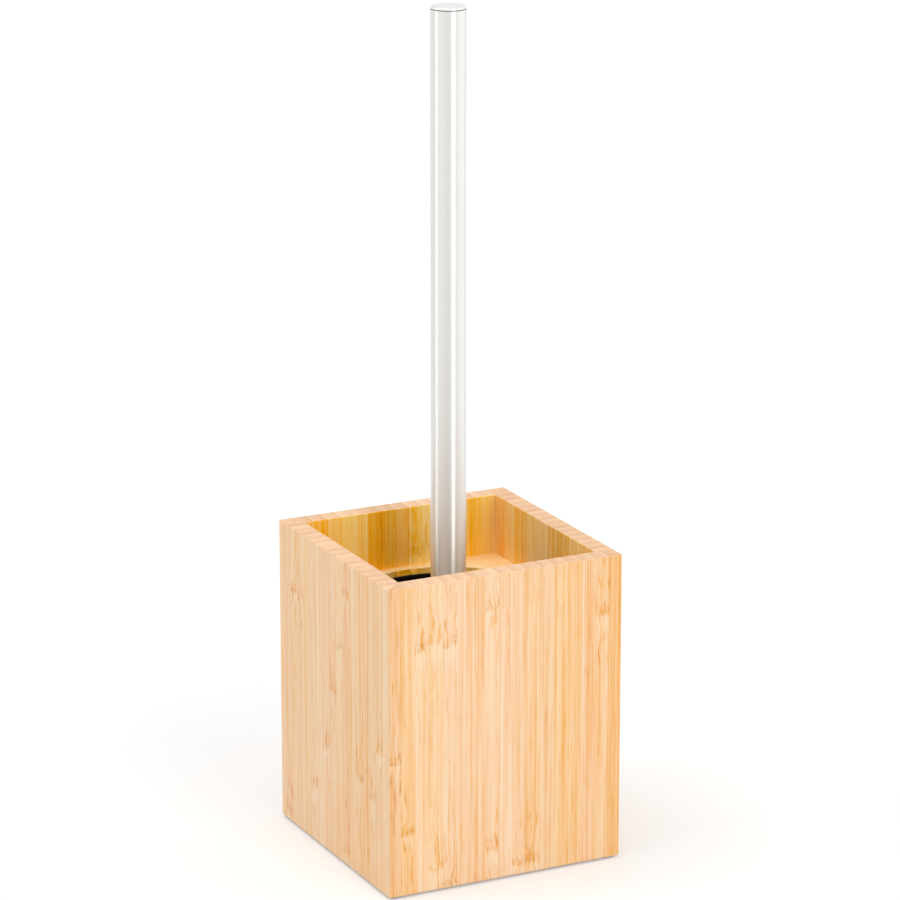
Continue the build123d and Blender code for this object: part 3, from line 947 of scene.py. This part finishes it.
def makeBristles():
    shape = headShape
    backing = shape["backingRadius"]
    sideLow, sideHigh = boxInMm("side_bristles")
    tipCentre = sideLow.z
    sidePlaces = []
    for row in range(sideTufts["rows"]):
        height = tipCentre + sideTufts["margin"] + row * sideTufts["pitch"]
        for i in range(sideTufts["perRow"]):
            sidePlaces.append(rootAt((i + 0.5 * (row % 2)) * 360 / sideTufts["perRow"], 0, height))
    tipPlaces = [rootAt(0, 90, tipCentre)]
    ringStep = 90 / (len(tipRings) + 0.5)
    for ring, count in enumerate(tipRings):
        for i in range(count):
            tipPlaces.append(rootAt((i + 0.5 * (ring % 2)) * 360 / count, (ring + 0.5) * ringStep, tipCentre))
    length = sideHigh.x - backing + tuft["bury"]
    sleeve = shape["coreRadius"] + shape["backingGap"]
    sleeveCorners = [(sleeve, sideLow.z, 0), (backing, sideLow.z, 0), (backing, sideHigh.z, 0),
                     (sleeve, sideHigh.z, 0)]
    ballCorners = []
    for degrees in range(0, 91, shape["ballStep"]):
        angle = math.radians(degrees)
        ballCorners.append((backing * math.sin(angle), tipCentre - backing * math.cos(angle), 0))
    ballCorners.append((0, tipCentre, 0))
    tufted = {
        "side_bristles": (sidePlaces, True, sleeveCorners),
        "tip_bristles": (tipPlaces, False, ballCorners),
    }
    tree = makeTuftTree()
    made = {}
    for i, (node, (places, closed, corners)) in enumerate(tufted.items()):
        roots = makeRoots(node + "Roots", places)
        mesh = growMesh(node + "Tufts", tree, {
            "Roots": roots, "Length": length * mm, "Root Radius": tuft["rootRadius"] * mm,
            "Filament Radius": tuft["filamentRadius"] * mm, "Spread": math.radians(tuft["spread"]),
            "Bend": tuft["bend"] * mm, "Uneven": tuft["uneven"], "Filaments": tuft["filaments"],
            "Seed": tuft["seed"] + i, "Bristle": nylon,
        })
        bpy.data.objects.remove(roots)
        bm = bmesh.new()
        bm.from_mesh(mesh)
        for face in bm.faces:
            face.material_index = 0
        latheInto(bm, corners, closed, turnSteps=shape["turnSteps"], materialIndex=1)
        made[node] = newPiece(node + "_tufts", bm, [nylon, polypropylene], shape["smoothAngle"])
    return made


seat(makeCore(), "brush_core")
for node, piece in makeBristles().items():
    seat(piece, node)
    print(piece.name, "has", len(piece.data.polygons), "faces")
print("brush head tufted")


# Studio: white floor that keeps the shadow, white surroundings, a key light in front, a narrow softbox at the
# left, a broad one at the right and one overhead. Sizes and distances are in metres, and glow is what brings
# the floor up to white, little near the object and more away from it
studio = {
    "floorSize": 14.0, "floorDrop": 0.05 * mm, "floorWhite": "#DCDCDC", "floorRough": 0.9,
    "glow": (0.25, 0.6), "glowReach": (0.2, 1.3), "surround": 0.68, "aim": (0, 0, 0.15),
}
lamps = {
    "key": {"angle": 7.5, "height": 1.2, "distance": 2.1, "width": 0.75, "tall": 2.3, "power": 15.0},
    "left": {"angle": -107.0, "height": 0.95, "distance": 2.1, "width": 0.35, "tall": 1.8, "power": 4.6},
    "right": {"angle": 65.0, "height": 0.95, "distance": 2.1, "width": 2.8, "tall": 1.8, "power": 8.5},
    "top": {"angle": -105.0, "height": 2.2, "distance": 0.6, "width": 1.4, "tall": 1.4, "power": 14.0},
}


# 1 where the camera sees the surroundings, also in metal and through glass, and 0 where they light the object
def seenAsBackground(tree):
    path = addNode(tree, "ShaderNodeLightPath").outputs
    seen = path["Is Camera Ray"]
    for ray in ("Is Glossy Ray", "Is Transmission Ray"):
        seen = addNode(tree, "ShaderNodeMath", [seen, path[ray]], operation="MAXIMUM")
    return seen


def makeFloor():
    bm = bmesh.new()
    under = Matrix.Translation((0, 0, -studio["floorDrop"]))
    bmesh.ops.create_grid(bm, x_segments=1, y_segments=1, size=studio["floorSize"] / 2, matrix=under)
    material, tree, shader, coords = newMaterial("studioFloorPainted")
    distance = addNode(tree, "ShaderNodeVectorMath", [coords], operation="LENGTH").outputs["Value"]
    level = addNode(tree, "ShaderNodeMapRange", [distance, *studio["glowReach"], *studio["glow"]])
    glow = addNode(tree, "ShaderNodeMath", [seenAsBackground(tree), level], operation="MULTIPLY")
    wire(tree, shader, {"Base Color": tint(studio["floorWhite"]), "Roughness": studio["floorRough"],
                        "Emission Color": (1, 1, 1, 1), "Emission Strength": glow})
    floor = newPiece("studioFloor", bm, [material])


def makeSurround():
    world = bpy.data.worlds.new("studioWhite")
    scene.world = world
    world.use_nodes = True
    tree = world.node_tree
    tree.nodes.clear()
    seen = seenAsBackground(tree)
    strength = addNode(tree, "ShaderNodeMapRange", [seen, 0.0, 1.0, studio["surround"], 1.0])
    white = addNode(tree, "ShaderNodeBackground", {"Color": (1, 1, 1, 1), "Strength": strength})
    addNode(tree, "ShaderNodeOutputWorld", {"Surface": white})


def makeLamp(name, lamp):
    data = bpy.data.lights.new(name, "AREA")
    data.shape = "RECTANGLE"
    data.size, data.size_y = lamp["width"], lamp["tall"]
    data.energy = lamp["power"]
    light = bpy.data.objects.new(name, data)
    angle = math.radians(lamp["angle"])   # from the front panel's outward direction, positive to the right
    light.location = (lamp["distance"] * math.sin(angle), -lamp["distance"] * math.cos(angle), lamp["height"])
    aim = Vector(studio["aim"]) - light.location
    light.rotation_euler = aim.to_track_quat("-Z", "Y").to_euler()
    scene.collection.objects.link(light)


makeFloor()
makeSurround()
for name, lamp in lamps.items():
    makeLamp(name + "Softbox", lamp)
scene.view_settings.view_transform = "Standard"
print("studio lit")
